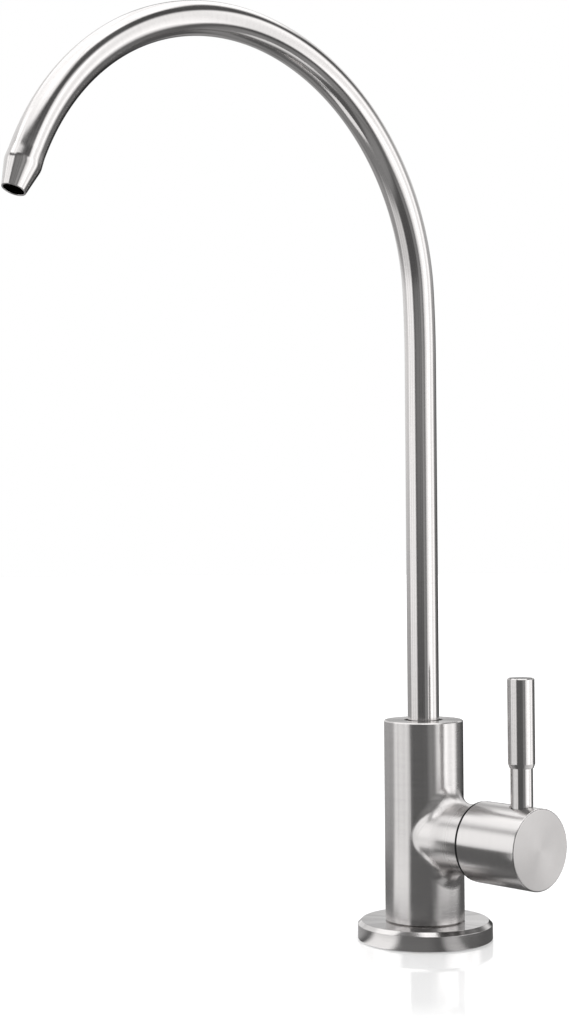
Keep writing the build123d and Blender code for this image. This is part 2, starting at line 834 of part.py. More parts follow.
os.makedirs("parts", exist_ok=True)
for name, piece in pieces.items():
    piece.part.label = name
    export_step(piece.part, f"parts/{name}.step")
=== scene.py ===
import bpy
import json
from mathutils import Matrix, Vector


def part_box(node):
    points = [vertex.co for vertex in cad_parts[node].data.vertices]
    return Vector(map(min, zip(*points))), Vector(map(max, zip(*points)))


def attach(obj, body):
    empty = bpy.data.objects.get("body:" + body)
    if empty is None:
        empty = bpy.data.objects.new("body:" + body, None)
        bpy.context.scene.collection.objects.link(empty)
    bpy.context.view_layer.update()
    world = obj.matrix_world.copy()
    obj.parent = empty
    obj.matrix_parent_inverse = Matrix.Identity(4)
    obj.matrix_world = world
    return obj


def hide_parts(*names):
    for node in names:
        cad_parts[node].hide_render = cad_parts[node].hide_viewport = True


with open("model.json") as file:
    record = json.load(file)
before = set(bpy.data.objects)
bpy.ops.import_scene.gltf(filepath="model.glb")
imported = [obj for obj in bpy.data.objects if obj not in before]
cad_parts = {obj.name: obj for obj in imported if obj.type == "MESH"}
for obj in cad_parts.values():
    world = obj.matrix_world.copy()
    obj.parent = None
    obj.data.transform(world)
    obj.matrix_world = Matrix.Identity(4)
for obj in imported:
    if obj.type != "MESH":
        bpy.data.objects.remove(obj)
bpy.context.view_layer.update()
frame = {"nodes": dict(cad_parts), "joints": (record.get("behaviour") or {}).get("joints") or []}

import json
import math
import bpy
import numpy as np
from mathutils import Matrix, Vector


# Camera
# It stands about 0.6 m away at the tap's right front corner, a hand's width over the
# worktop, with the lens of a short telephoto. The view is a little turned and tilted.
camera_place = Vector((0.40640, -0.42011, 0.12454))
camera_turn, camera_rise, camera_roll = 0.07354, 0.01665, -0.00764     # radians
lens_length, sensor_width = 65.735, 36.0                               # millimetres
scene = bpy.context.scene
toward = math.atan2(-camera_place.y, -camera_place.x) + camera_turn
ahead = Vector((
    math.cos(toward) * math.cos(camera_rise),
    math.sin(toward) * math.cos(camera_rise),
    math.sin(camera_rise),
))
across = ahead.cross(Vector((0, 0, 1))).normalized()
facing = Matrix((across, across.cross(ahead), -ahead)).transposed()
camera = bpy.data.objects.new("camera", bpy.data.cameras.new("camera"))
camera.data.lens = lens_length
camera.data.sensor_width = sensor_width
camera.data.clip_start = 0.01
camera.matrix_world = Matrix.Translation(camera_place) @ (
    facing @ Matrix.Rotation(camera_roll, 3, "Z")
).to_4x4()
scene.collection.objects.link(camera)
scene.camera = camera
scene.view_settings.view_transform = "Standard"


# Studio
# A white room with a wide soft panel of light to the right, one to the left and a bright
# ceiling. The dark gaps between them draw the dark lines along the polished metal.
room_glow = 0.11
matt_glow = 0.75          # the even light on matt surfaces
backdrop_glow = 1.0       # what the camera and the floor see of the room

# The panels' places are degrees round the tap and over the worktop
panels = (  # middle, half width, its softness, bottom, its softness, top, its softness, light
    (26.5, 33, 10, -24, 5, 24, 4, 1.45),       # wide panel to the right
    (35, 25, 8, 24, 4, 36, 6, 1.45),           # its narrower top
    (82, 18, 10, 6, 8, 26, 6, 0.4),            # its glow on the wall beside it
    (-115, 27, 5, -34, 9, 31.5, 3, 0.82),      # wide panel to the left
    (-115, 27, 5, -4, 5, 31.5, 3, 0.49),       # its part over the worktop
    (0, 180, 0, 62, 4, 90, 0, 1.6),            # ceiling
    (160, 76, 12, 41, 3, 62, 4, 1.5),          # its part over the back
    (-68, 56, 10, 50, 4, 62, 4, 1.4),          # its part over the front
    (-112, 26, 8, 42, 3, 50, 4, 1.4),          # its part over the left panel
    (172, 50, 6, -32, 10, 41, 4, 0.32),        # pale wall behind the tap
    (170, 48, 8, 0, 6, 14, 8, 0.57),           # its middle
    (184, 36, 8, 14, 8, 41, 4, 0.55),          # its upper part on the left
    (116, 18, 10, 14, 8, 41, 4, 0.8),          # its side next to the panel
    (72, 17, 3, -30, 8, 30, 8, 0.08),          # side wall behind the wide panel
    (-20, 10, 8, -30, 8, 34, 8, 0.2),          # glow of the panel on the room
    (-50, 28, 8, 0, 5, 34, 8, 0.16),           # the room in front, over the worktop
    (0, 180, 0, -85, 4, -36, 5, 0.2),          # worktop round the tap
)
flag = (122, 15, 5, -11, 5, 8, 4)              # black cloth that darkens the right-hand edges
flag_depth = 0.9                               # the share of the light that it keeps off
crease_contrast = 2.0                          # how much the light varies with the creases


def put(tree, kind, inputs=None, **settings):
    """Adds a node to a tree: settings are its own, inputs are values or other nodes' outputs."""
    made = tree.nodes.new("ShaderNode" + kind)
    for name, value in settings.items():
        setattr(made, name, value)
    for socket, value in (inputs or {}).items():
        if isinstance(value, bpy.types.NodeSocket):
            tree.links.new(value, made.inputs[socket])
        else:
            made.inputs[socket].default_value = value
    return made


def math_of(tree, operation, *values):
    """One step of arithmetic in a node tree."""
    return put(tree, "Math", dict(enumerate(values)), operation=operation).outputs[0]


def step_of(tree, value, low, high, to_low=0.0, to_high=1.0):
    """Goes softly from one number to another while a value goes from low to high."""
    return put(
        tree, "MapRange",
        {"Value": value, "From Min": low, "From Max": high, "To Min": to_low, "To Max": to_high},
        interpolation_type="SMOOTHSTEP",
    ).outputs[0]


def varied(tree, noise, spread, middle):
    """A number that varies about a middle with a noise, as widely as the spread says."""
    away = math_of(tree, "SUBTRACT", noise, 0.5)
    return math_of(tree, "MULTIPLY_ADD", away, spread, middle)


def sector_mask(tree, flat_direction, middle, half, soft):
    """One in a sector of the compass and zero elsewhere: the cosine of the angle from the
    sector's middle is compared with that of its edge. Its places are in degrees."""
    way = (math.cos(math.radians(middle)), math.sin(math.radians(middle)), 0)
    beside = put(tree, "VectorMath", {0: flat_direction, 1: way}, operation="DOT_PRODUCT")
    edges = [math.cos(math.radians(half + side)) for side in (soft, -soft)]
    return step_of(tree, beside.outputs["Value"], *edges)


def panel_mask(tree, flat_direction, height, middle, half, side_soft, bottom, foot_soft,
               top, head_soft):
    """One where a direction meets a panel and zero elsewhere: the panel fills its sector of
    the compass between two elevations, whose sines are compared with the height. One that
    goes all the way round has no sides, and one that reaches the zenith has no upper edge."""
    sides = sector_mask(tree, flat_direction, middle, half, side_soft) if half < 180 else 1.0
    foot = [math.sin(math.radians(bottom + soft)) for soft in (-foot_soft, foot_soft)]
    head = [math.sin(math.radians(top + soft)) for soft in (-head_soft, head_soft)]
    over = step_of(tree, height, *foot)
    under = step_of(tree, height, *head, 1.0, 0.0) if top < 90 else 1.0
    return math_of(tree, "MULTIPLY", sides, math_of(tree, "MULTIPLY", over, under))


world = bpy.data.worlds.new("studio")
world.use_nodes = True
scene.world = world
sky = world.node_tree
sky.nodes.clear()
direction = put(sky, "TexCoord").outputs["Generated"]
flat = put(sky, "VectorMath", {0: direction, 1: (1, 1, 0)}, operation="MULTIPLY").outputs[0]
flat = put(sky, "VectorMath", {0: flat}, operation="NORMALIZE").outputs[0]
upward = put(sky, "SeparateXYZ", {0: direction}).outputs["Z"]
glow = room_glow
for *place, light in panels:
    brightness = math_of(sky, "MULTIPLY", panel_mask(sky, flat, upward, *place), light)
    glow = math_of(sky, "ADD", brightness, glow)
spared = math_of(sky, "MULTIPLY_ADD", panel_mask(sky, flat, upward, *flag), -flag_depth, 1.0)
glow = math_of(sky, "MULTIPLY", glow, spared)

# Creases in the cloth of the panels make the light uneven from one direction to the next
creases = put(sky, "TexNoise", {"Vector": flat, "Scale": 9.0, "Detail": 4.0, "Roughness": 0.65})
uneven = varied(sky, creases.outputs[0], crease_contrast, 1.0)
glow = math_of(sky, "MULTIPLY", glow, uneven)
ray = put(sky, "LightPath").outputs
lit = put(sky, "Mix", {"Factor": ray["Is Diffuse Ray"], "A": glow, "B": matt_glow},
          data_type="FLOAT")

# The floor mirrors a plain white room. Only a ray that the floor sends up has crossed the
# film over it twice and met nothing else, and these counts tell it from the others
crossed_twice = math_of(sky, "GREATER_THAN", ray["Transparent Depth"], 1.5)
met_one = math_of(sky, "LESS_THAN", ray["Ray Depth"], 1.5)
off_floor = math_of(sky, "MULTIPLY", crossed_twice, met_one)
plain = math_of(sky, "MAXIMUM", ray["Is Camera Ray"], off_floor)
seen = put(sky, "Mix", {"Factor": plain, "A": lit.outputs[0], "B": backdrop_glow},
           data_type="FLOAT")
backdrop = put(sky, "Background", {"Color": seen.outputs[0]})
sky.links.new(backdrop.outputs[0], put(sky, "OutputWorld").inputs["Surface"])

# The floor is a white gloss sheet with a hole for the shank, which the flange hides. A clear
# film lies just over it, all round the flange
floor_reach = 6.0
floor_hole = 0.012
film_hole, film_height = 0.0215, 0.0002
floor_white, floor_glow = 0.8, 0.5
floor_gloss, gloss_near, gloss_far = 0.35, 0.075, 0.125     # it fades away from the tap


def flat_sheet(name, inner, outer, height, rings=24, around=96):
    """A level sheet round the tap's axis: a point of it is the radius times the cosine and
    the sine of the turn, and the radii grow from ring to ring by a constant ratio."""
    radii = np.geomspace(inner, outer, rings)[:, None]
    turns = np.linspace(0, 2 * np.pi, around, endpoint=False)
    points = np.stack([
        radii * np.cos(turns), radii * np.sin(turns), np.full((rings, around), height),
    ], axis=-1).reshape(-1, 3)
    ring, turn = np.meshgrid(np.arange(rings - 1) * around, np.arange(around), indexing="ij")
    after, wider = (turn + 1) % around, ring + around
    faces = np.stack([ring + turn, wider + turn, wider + after, ring + after], -1)
    mesh = bpy.data.meshes.new(name)
    mesh.from_pydata(points, [], faces.reshape(-1, 4).tolist())
    sheet = bpy.data.objects.new(name, mesh)
    scene.collection.objects.link(sheet)
    return sheet


def bare_material(name):
    """A material with an output and nothing else: gives it, its tree and the output's socket."""
    made = bpy.data.materials.new(name)
    made.use_nodes = True
    made.node_tree.nodes.clear()
    return made, made.node_tree, put(made.node_tree, "OutputMaterial").inputs["Surface"]


floor = flat_sheet("floor", floor_hole, floor_reach, 0.0)
floor.visible_glossy = False
floor_paint, floor_tree, floor_surface = bare_material("floor_white")
matt = put(floor_tree, "BsdfDiffuse", {"Color": (floor_white, floor_white, floor_white, 1)})
gloss = put(floor_tree, "BsdfGlossy", {"Color": (1, 1, 1, 1), "Roughness": 0.06})
to_camera = put(floor_tree, "LightPath").outputs["Is Camera Ray"]
lamp = put(floor_tree, "Emission", {
    "Color": (1, 1, 1, 1), "Strength": math_of(floor_tree, "MULTIPLY", to_camera, floor_glow),
})
white = put(floor_tree, "AddShader", {0: matt.outputs[0], 1: lamp.outputs[0]})
floor_place = put(floor_tree, "TexCoord").outputs["Object"]
away = put(floor_tree, "VectorMath", {0: floor_place}, operation="LENGTH").outputs["Value"]
shine = step_of(floor_tree, away, gloss_near, gloss_far, floor_gloss, 0.0)
above = math_of(floor_tree, "SUBTRACT", 1.0, put(floor_tree, "NewGeometry").outputs["Backfacing"])
shine = math_of(floor_tree, "MULTIPLY", shine, above)
coated = put(floor_tree, "MixShader", {0: shine, 1: white.outputs[0], 2: gloss.outputs[0]})
floor_tree.links.new(coated.outputs[0], floor_surface)
floor.data.materials.append(floor_paint)

film = flat_sheet("film", film_hole, floor_reach, film_height)
film.visible_diffuse = False
film.visible_shadow = False
clear_film, film_tree, film_surface = bare_material("clear_film")
film_tree.links.new(put(film_tree, "BsdfTransparent").outputs[0], film_surface)
film.data.materials.append(clear_film)

# What the polished metal sees close to the tap: the worktop, which the left panel lights and
# the tap itself shades, and a black card held in front of the handle's underside
worktop_hole, worktop_reach, worktop_height = 0.0205, 0.16, -0.0004
worktop_glow = 0.13
worktop_lights = (  # middle, half width, its softness, light near and far, where near and far
    (-100, 19, 6, 1.2, 0.0, 0.042, 0.05),      # bright patch under the spout
    (-116, 26, 5, 0.0, 1.15, 0.055, 0.075),    # under the left panel
    (28, 36, 12, 0.0, 1.05, 0.055, 0.14),      # under the right panel
    (-13, 9, 6, 0.45, 0.0, 0.04, 0.09),        # beside the handle
    (-176, 40, 10, 0.3, 0.05, 0.045, 0.07),    # on the side away from the handle
    (-62, 24, 8, 0.08, 0.0, 0.045, 0.07),      # in front
)
card_left, card_right, card_foot, card_top = 0.0045, 0.038, 0.007, 0.0322
card_y = -0.022
card_glow = 0.16


def only_mirrored(piece, light_of, name):
    """Makes the front of a stage piece glow, and leaves it to reflections alone."""
    for kind in ("camera", "diffuse", "transmission", "shadow"):
        setattr(piece, "visible_" + kind, False)
    made, tree, surface = bare_material(name)
    lamp = put(tree, "Emission", {"Color": (1, 1, 1, 1), "Strength": light_of(tree)})
    shown = put(tree, "MixShader", {
        0: put(tree, "NewGeometry").outputs["Backfacing"],
        1: lamp.outputs[0],
        2: put(tree, "BsdfTransparent").outputs[0],
    })
    tree.links.new(shown.outputs[0], surface)
    piece.data.materials.append(made)


def near_light(tree):
    """The worktop's glow: in each sector of the table it goes over from one light to another
    between two distances from the tap, in metres."""
    place = put(tree, "TexCoord").outputs["Object"]
    level = put(tree, "VectorMath", {0: place, 1: (1, 1, 0)}, operation="MULTIPLY").outputs[0]
    reach = put(tree, "VectorMath", {0: level}, operation="LENGTH").outputs["Value"]
    way = put(tree, "VectorMath", {0: level}, operation="NORMALIZE").outputs[0]
    glow = worktop_glow
    for middle, half, soft, near, far, near_reach, far_reach in worktop_lights:
        inside = sector_mask(tree, way, middle, half, soft)
        light = step_of(tree, reach, near_reach, far_reach, near, far)
        glow = math_of(tree, "MULTIPLY_ADD", inside, light, glow)
    return glow


near_floor = flat_sheet("near_floor", worktop_hole, worktop_reach, worktop_height)
only_mirrored(near_floor, near_light, "near_floor_light")
card_mesh = bpy.data.meshes.new("card")
card_mesh.from_pydata([
    (card_left, card_y, card_foot), (card_left, card_y, card_top),
    (card_right, card_y, card_top), (card_right, card_y, card_foot),
], [], [(0, 1, 2, 3)])
card = bpy.data.objects.new("card", card_mesh)
scene.collection.objects.link(card)
only_mirrored(card, lambda tree: card_glow, "card_black")


# Base flange
# The round foot that covers the hole in the worktop. It is turned from stainless steel
# bar, chamfered and satin polished while it spins, so that its fine lines run round it.
per_metre = 1000          # the pieces' sizes are in millimetres
corner_steps = 6          # parts of a rounded corner
edge_round = 0.05
brushed = "brushed_stainless"
upright_axis = (0, 0, 0)  # a point of the tap's upright axis


def node_box(name):
    """A CAD node's lowest and highest corner, in millimetres."""
    return [np.array(corner) * per_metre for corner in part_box(name)]


def rounded_outline(corners, steps=corner_steps):
    """The outline of a turned piece, from corners of radius, height and rounding in
    millimetres, in an order that keeps the metal on the left. Each corner gives way to an arc
    that touches both its sides: a point of it is the arc's centre plus the rounding times the
    normal, and the normal swings evenly from one side's to the other's. Points and normals
    are complex numbers, radius plus i times height."""
    radius, height, rounding = np.array(corners, float).T
    place = radius + 1j * height
    arriving = place - np.roll(place, 1)
    arriving /= np.abs(arriving)
    turn = np.angle(np.roll(arriving, -1) / arriving)
    bend = np.sign(turn) * rounding
    start = place - arriving * rounding * np.tan(np.abs(turn) / 2)
    centre = start + 1j * arriving * bend
    swing = np.exp(1j * turn[:, None] * np.linspace(0, 1, steps + 1))
    normals = -1j * arriving[:, None] * swing
    return (centre[:, None] + bend[:, None] * normals).ravel(), normals.ravel()


def upright(x):
    """The upright line over a point of the worktop beside the tap's axis: its place at each
    height, its two sides and its direction."""
    def line(height):
        rows = np.ones((len(height), 1))
        centre = rows * (x, 0, 0) + height[:, None] * (0, 0, 1)
        return centre, rows * (1, 0, 0), rows * (0, 1, 0), rows * (0, 0, 1)
    return line


def round_surface(outline, normals, line, around=96):
    """The surface that an outline makes as it turns about a line: the place is the line's
    point at the outline's height, plus the radius times the cosine of the turn along the
    line's first side and its sine along the second. The normal is found in the same way."""
    turn = 2 * np.pi * np.arange(around) / around
    centre, side, other, along = (part[:, None] for part in line(outline.imag))
    out = np.cos(turn)[None, :, None] * side + np.sin(turn)[None, :, None] * other
    places = centre + outline.real[:, None, None] * out
    return places, normals.real[:, None, None] * out + normals.imag[:, None, None] * along


def skin(name, places, normals, reach, body, slot, poles=False):
    """A piece from a grid of places in millimetres: its rows follow the outline and its
    columns go round, and the last of each joins the first. With poles, the first and last row
    are one point each. The UV map called wrap holds the turn and the reach in millimetres."""
    rows, around = places.shape[:2]
    number = np.arange(rows * around).reshape(rows, around)
    if poles:
        number[[0, -1]] = number[[0, -1], :1]
    kept, number = np.unique(number, return_inverse=True)
    number = number.reshape(rows, around)
    row, column = np.meshgrid(np.arange(rows - int(poles)), np.arange(around), indexing="ij")
    corner_row = np.stack([row, row, row + 1, row + 1], -1)
    corner_column = np.stack([column, column + 1, column + 1, column], -1)
    real = np.ones(corner_row.shape, bool)
    if poles:
        real[0, :, 1] = real[-1, :, 3] = False
    ends = np.cumsum(real.sum(-1).ravel())
    corner_row = corner_row[real] % rows
    corner_column = corner_column[real]
    at = (corner_row, corner_column % around)
    made = bpy.data.meshes.new(name)
    made.vertices.add(len(kept))
    made.vertices.foreach_set("co", (places.reshape(-1, 3)[kept] / per_metre).ravel())
    made.loops.add(len(corner_row))
    made.loops.foreach_set("vertex_index", number[at].astype(np.int32))
    made.polygons.add(row.size)
    made.polygons.foreach_set("loop_start", np.append(0, ends[:-1]).astype(np.int32))
    made.update(calc_edges=True)
    wrap = made.uv_layers.new(name="wrap")
    wrap.data.foreach_set("uv", np.stack([corner_column / around, reach[corner_row]], -1).ravel())
    made.normals_split_custom_set(normals[at].tolist())
    piece = bpy.data.objects.new(name, made)
    scene.collection.objects.link(piece)
    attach(piece, body)
    return piece


# The polishing lines and the metals that wear them
line_step = 1.6                        # how fast the lines change round the piece
smudge_step = (1.3, 1.3, 0.12)         # the same for the wide smudges, and along the axis
least_roughness = 0.04
darker, lighter = 0.9, 1.08            # the colour's share in a line and between two
line_depth = 1e-5                      # metres
steel_tint = (0.62, 0.603, 0.597)


def new_group(name, inputs, outputs):
    """A node group whose inputs start at the given values and whose outputs are numbers:
    gives it, and inside it the sockets of its inputs and of its outputs."""
    group = bpy.data.node_groups.new(name, "ShaderNodeTree")
    for socket, start in inputs.items():
        kind = "NodeSocketVector" if isinstance(start, tuple) else "NodeSocketFloat"
        made = group.interface.new_socket(socket, in_out="INPUT", socket_type=kind)
        made.default_value = start
    for socket in outputs:
        group.interface.new_socket(socket, in_out="OUTPUT", socket_type="NodeSocketFloat")
    given = group.nodes.new("NodeGroupInput").outputs
    return group, given, group.nodes.new("NodeGroupOutput").inputs


def turned_lines():
    """Node group for the lines that polishing leaves on a spinning piece. Its vector is a
    point of the unit circle round the axis, with the place along the axis in millimetres."""
    group, given, out = new_group("turned_lines", {
        "Vector": (0, 0, 0), "Lines": 3.0, "Roughness": 0.25, "Line Spread": 0.08,
        "Smudge Spread": 0.05,
    }, ("Roughness", "Height", "Tone"))
    fine = put(group, "CombineXYZ", {"X": line_step, "Y": line_step, "Z": given["Lines"]})
    point = put(group, "VectorMath", {0: given["Vector"], 1: fine.outputs[0]},
                operation="MULTIPLY")
    lines = put(group, "TexNoise", {
        "Vector": point.outputs[0], "Scale": 1.0, "Detail": 4.0, "Roughness": 0.7,
    }).outputs[0]
    wide = put(group, "VectorMath", {0: given["Vector"], 1: smudge_step}, operation="MULTIPLY")
    smudge = put(group, "TexNoise", {
        "Vector": wide.outputs[0], "Scale": 1.0, "Detail": 3.0,
    }).outputs[0]
    rough = varied(group, lines, given["Line Spread"], given["Roughness"])
    rough = varied(group, smudge, given["Smudge Spread"], rough)
    group.links.new(math_of(group, "MAXIMUM", rough, least_roughness), out["Roughness"])
    group.links.new(lines, out["Height"])
    group.links.new(lines, out["Tone"])
    return group


lines_group = turned_lines()


def lines_on(tree, vector, lines, roughness):
    """Places turned_lines in a material and returns its outputs."""
    return put(tree, "Group", {"Vector": vector, "Lines": lines, "Roughness": roughness},
               node_tree=lines_group).outputs


def place_along(tree, axis):
    """How far each point lies along an axis of the tap, in millimetres."""
    place = put(tree, "TexCoord").outputs["Object"]
    along = put(tree, "SeparateXYZ", {0: place}).outputs[axis]
    return math_of(tree, "MULTIPLY", along, per_metre)


def round_axis(tree, axis, centre, radius):
    """The vector for turned_lines on a piece that is turned about an axis through a centre,
    from Object coordinates, and the direction round the axis at each point."""
    place = put(tree, "TexCoord").outputs["Object"]
    middle = [part / per_metre for part in centre]
    point = put(tree, "VectorMath", {0: place, 1: middle}, operation="SUBTRACT").outputs[0]
    parts = put(tree, "SeparateXYZ", {0: point}).outputs
    across_axis = "XYZ".replace(axis, "")
    circle = [math_of(tree, "DIVIDE", parts[side], radius / per_metre) for side in across_axis]
    along = math_of(tree, "MULTIPLY", parts[axis], per_metre)
    vector = put(tree, "CombineXYZ", {"X": circle[0], "Y": circle[1], "Z": along}).outputs[0]
    unit = {"X": (1, 0, 0), "Y": (0, 1, 0), "Z": (0, 0, 1)}[axis]
    around = put(tree, "VectorMath", {0: unit, 1: point}, operation="CROSS_PRODUCT").outputs[0]
    return vector, around


def metal_tree(name, grain):
    """Starts a material of polished metal: a quarter turn of the grain lays the long side of
    a highlight across the polishing lines."""
    made = bpy.data.materials.new(name)
    made.use_nodes = True
    shader = made.node_tree.nodes["Principled BSDF"]
    shader.inputs["Metallic"].default_value = 1.0
    shader.inputs["Anisotropic"].default_value = grain
    shader.inputs["Anisotropic Rotation"].default_value = 0.25
    return made, made.node_tree, shader


def finish_metal(tree, shader, tone, rough, height, tint, relief):
    """Joins the colour, the roughness and the fine relief of the lines to the shader."""
    low, high = (tuple(level * part for part in tint) + (1,) for level in (darker, lighter))
    colour = put(tree, "Mix", {"Factor": tone, "A": low, "B": high}, data_type="RGBA")
    tree.links.new(colour.outputs["Result"], shader.inputs["Base Color"])
    tree.links.new(rough, shader.inputs["Roughness"])
    bump = put(tree, "Bump", {"Height": height, "Strength": relief, "Distance": line_depth})
    tree.links.new(bump.outputs[0], shader.inputs["Normal"])


def lay_grain(tree, shader, around):
    """Gives the shader the direction of the polishing lines."""
    way = put(tree, "VectorTransform", {"Vector": around}, vector_type="VECTOR",
              convert_from="OBJECT", convert_to="WORLD")
    tree.links.new(way.outputs[0], shader.inputs["Tangent"])


def turned_metal(name, axis, centre, radius, tint=steel_tint, roughness=0.24, grain=0.6,
                 lines=3.0, relief=0.18):
    """Metal whose polishing lines run round an axis."""
    made, tree, shader = metal_tree(name, grain)
    vector, around = round_axis(tree, axis, centre, radius)
    marks = lines_on(tree, vector, lines, roughness)
    finish_metal(tree, shader, marks["Tone"], marks["Roughness"], marks["Height"], tint, relief)
    lay_grain(tree, shader, around)
    return made


def mixed(tree, factor, first, second, kind="FLOAT"):
    """Goes over from one number or vector to another as the factor goes from zero to one."""
    mix = put(tree, "Mix", {"Factor": factor}, data_type=kind)
    sides = [socket for socket in mix.inputs if socket.enabled and socket.name in "AB"]
    tree.links.new(first, sides[0])
    tree.links.new(second, sides[1])
    return mix.outputs[{"FLOAT": 0, "VECTOR": 1}[kind]]


# The flange stands on its gasket, which lies in the hollow of its underside. The column's
# foot goes into the seat in its top, and the shank goes through the hole below
flange_low, flange_high = node_box("base_flange")
flange_radius, flange_foot, flange_top = flange_high[0], flange_low[2], flange_high[2]
flange_chamfer, foot_chamfer = 1.2, 0.2
seat_radius, seat_height = 8.05, node_box("valve_body")[0][2]
shank_hole_radius = 6.206
hollow_radius, hollow_top = 19.05, node_box("flange_gasket")[1][2]
chamfer_round, hollow_round = 0.15, 0.1
flange_points, flange_normals = rounded_outline((
    (flange_radius - foot_chamfer, flange_foot, edge_round),
    (flange_radius, flange_foot + foot_chamfer, edge_round),
    (flange_radius, flange_top - flange_chamfer, chamfer_round),
    (flange_radius - flange_chamfer, flange_top, chamfer_round),
    (seat_radius, flange_top, edge_round),
    (seat_radius, seat_height, edge_round),
    (shank_hole_radius, seat_height, edge_round),
    (shank_hole_radius, hollow_top, edge_round),
    (hollow_radius, hollow_top, hollow_round),
    (hollow_radius, flange_foot, edge_round),
))
flange_skin = round_surface(flange_points, flange_normals, upright(0), around=160)
flange = skin("turned_flange", *flange_skin, flange_points.imag, "base", brushed)
flange_steel = turned_metal("flange_steel", "Z", upright_axis, flange_radius, roughness=0.19)

# Painted shade: the top's colour is made greyer than the side's, darker in fans that spread from
# the middle. These stand in for the light and dark fans of reflection on a turned top
fan_shade_from, fan_shade_to = flange_top - 0.2, flange_top - 0.02
noise_low, noise_high = 0.3, 0.7
darkest_painted_fan, lightest_painted_fan = 0.6, 0.95
flange_tree = flange_steel.node_tree
flange_shader = flange_tree.nodes["Principled BSDF"]
on_top = step_of(flange_tree, place_along(flange_tree, "Z"), fan_shade_from, fan_shade_to)
flange_point = put(flange_tree, "TexCoord").outputs["Object"]
outward = put(flange_tree, "VectorMath", {0: flange_point, 1: (1, 1, 0)}, operation="MULTIPLY")
outward = put(flange_tree, "VectorMath", {0: outward.outputs[0]}, operation="NORMALIZE")
# Painted shade in fans round the top, from a noise of the direction outward from the axis
painted_fans = put(flange_tree, "TexNoise", {
    "Vector": outward.outputs[0], "Scale": 2.6, "Detail": 5.0, "Roughness": 0.7,
}).outputs[0]
painted_fans = step_of(flange_tree, painted_fans, noise_low, noise_high, darkest_painted_fan, lightest_painted_fan)
plain_colour = flange_shader.inputs["Base Color"].links[0].from_socket
# The plain colour darkened by the painted fans of shade, used on the top only
painted_shade = put(flange_tree, "VectorMath", {0: plain_colour, "Scale": painted_fans}, operation="SCALE")
fan_shaded_colour = mixed(flange_tree, on_top, plain_colour, painted_shade.outputs[0], "VECTOR")
flange_tree.links.new(fan_shaded_colour, flange_shader.inputs["Base Color"])
flange.data.materials.append(flange_steel)
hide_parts("base_flange")


# Flange gasket
# The rubber ring in the flange's hollow. It stands a little proud and seals the worktop,
# and shows from outside as a dark line.
grain_depth = 2e-5        # metres


def moulded_skin():
    """Node group for the skin of moulded rubber, plastic or pressed ceramic: a fine grain,
    its size given in metres, and faint wide clouds of dust or uneven gloss."""
    group, given, out = new_group("moulded_skin", {
        "Grain Size": 0.0003, "Roughness": 0.6, "Cloud Spread": 0.15,
    }, ("Tone", "Roughness", "Height"))
    point = put(group, "TexCoord").outputs["Object"]
    grains = math_of(group, "DIVIDE", 1.0, given["Grain Size"])
    fine = put(group, "TexNoise", {"Vector": point, "Scale": grains, "Detail": 2.0}).outputs[0]
    cloud = put(group, "TexNoise", {"Vector": point, "Scale": 180.0, "Detail": 3.0}).outputs[0]
    rough = varied(group, cloud, given["Cloud Spread"], given["Roughness"])
    group.links.new(cloud, out["Tone"])
    group.links.new(rough, out["Roughness"])
    group.links.new(fine, out["Height"])
    return group


moulded_group = moulded_skin()


def moulded(name, colour, dusty, roughness, grain=0.0003, relief=0.3):
    """A moulded material that goes from its colour to a dustier one in faint clouds."""
    made = bpy.data.materials.new(name)
    made.use_nodes = True
    tree = made.node_tree
    shader = tree.nodes["Principled BSDF"]
    marks = put(tree, "Group", {"Grain Size": grain, "Roughness": roughness},
                node_tree=moulded_group).outputs
    clouded = put(tree, "Mix", {
        "Factor": marks["Tone"], "A": (*colour, 1), "B": (*dusty, 1),
    }, data_type="RGBA")
    tree.links.new(clouded.outputs["Result"], shader.inputs["Base Color"])
    tree.links.new(marks["Roughness"], shader.inputs["Roughness"])
    bump = put(tree, "Bump", {
        "Height": marks["Height"], "Strength": relief, "Distance": grain_depth,
    })
    tree.links.new(bump.outputs[0], shader.inputs["Normal"])
    return made


def dress(material, *names):
    """Gives CAD nodes a material in place of the plain one they were packed with."""
    for name in names:
        data = frame["nodes"][name].data
        data.materials.clear()
        data.materials.append(material)


black_rubber = moulded("black_rubber", (0.012, 0.012, 0.013), (0.035, 0.035, 0.036), 0.62)
dress(black_rubber, "flange_gasket")


# Valve body
# The upright column and its side stub, made in one and blended with a soft corner, then
# satin polished: round the column, and round the stub outside the corner.
lever_joint = next(joint for joint in frame["joints"] if joint["name"] == "lever_turn")
valve_axis = (0, 0, lever_joint["pos_m"][2] * per_metre)     # the stub's and the handle's
column_radius, stub_radius = 12.35, 10.7
column_lines_end, stub_lines_start = 12.4, 16.4
corner_start, corner_middle, corner_end = 11.0, 14.0, 23.0
corner_roughness = 0.07     # what the corner has more, because the polishing belt misses it
body_lines, body_roughness, body_relief = 3.0, 0.24, 0.18
body_steel, body_tree, body_shader = metal_tree("body_steel", 0.6)
column_vector, column_around = round_axis(body_tree, "Z", upright_axis, column_radius)
stub_vector, stub_around = round_axis(body_tree, "X", valve_axis, stub_radius)
column_marks = lines_on(body_tree, column_vector, body_lines, body_roughness)
stub_marks = lines_on(body_tree, stub_vector, body_lines, body_roughness)
outside = place_along(body_tree, "X")
on_stub = step_of(body_tree, outside, column_lines_end, stub_lines_start)
tone, rough, height = (
    mixed(body_tree, on_stub, column_marks[mark], stub_marks[mark])
    for mark in ("Tone", "Roughness", "Height")
)
into_corner = step_of(body_tree, outside, corner_start, corner_middle)
out_of_corner = step_of(body_tree, outside, corner_middle, corner_end, 1.0, 0.0)
in_corner = math_of(body_tree, "MULTIPLY", into_corner, out_of_corner)
rough = math_of(body_tree, "MULTIPLY_ADD", in_corner, corner_roughness, rough)
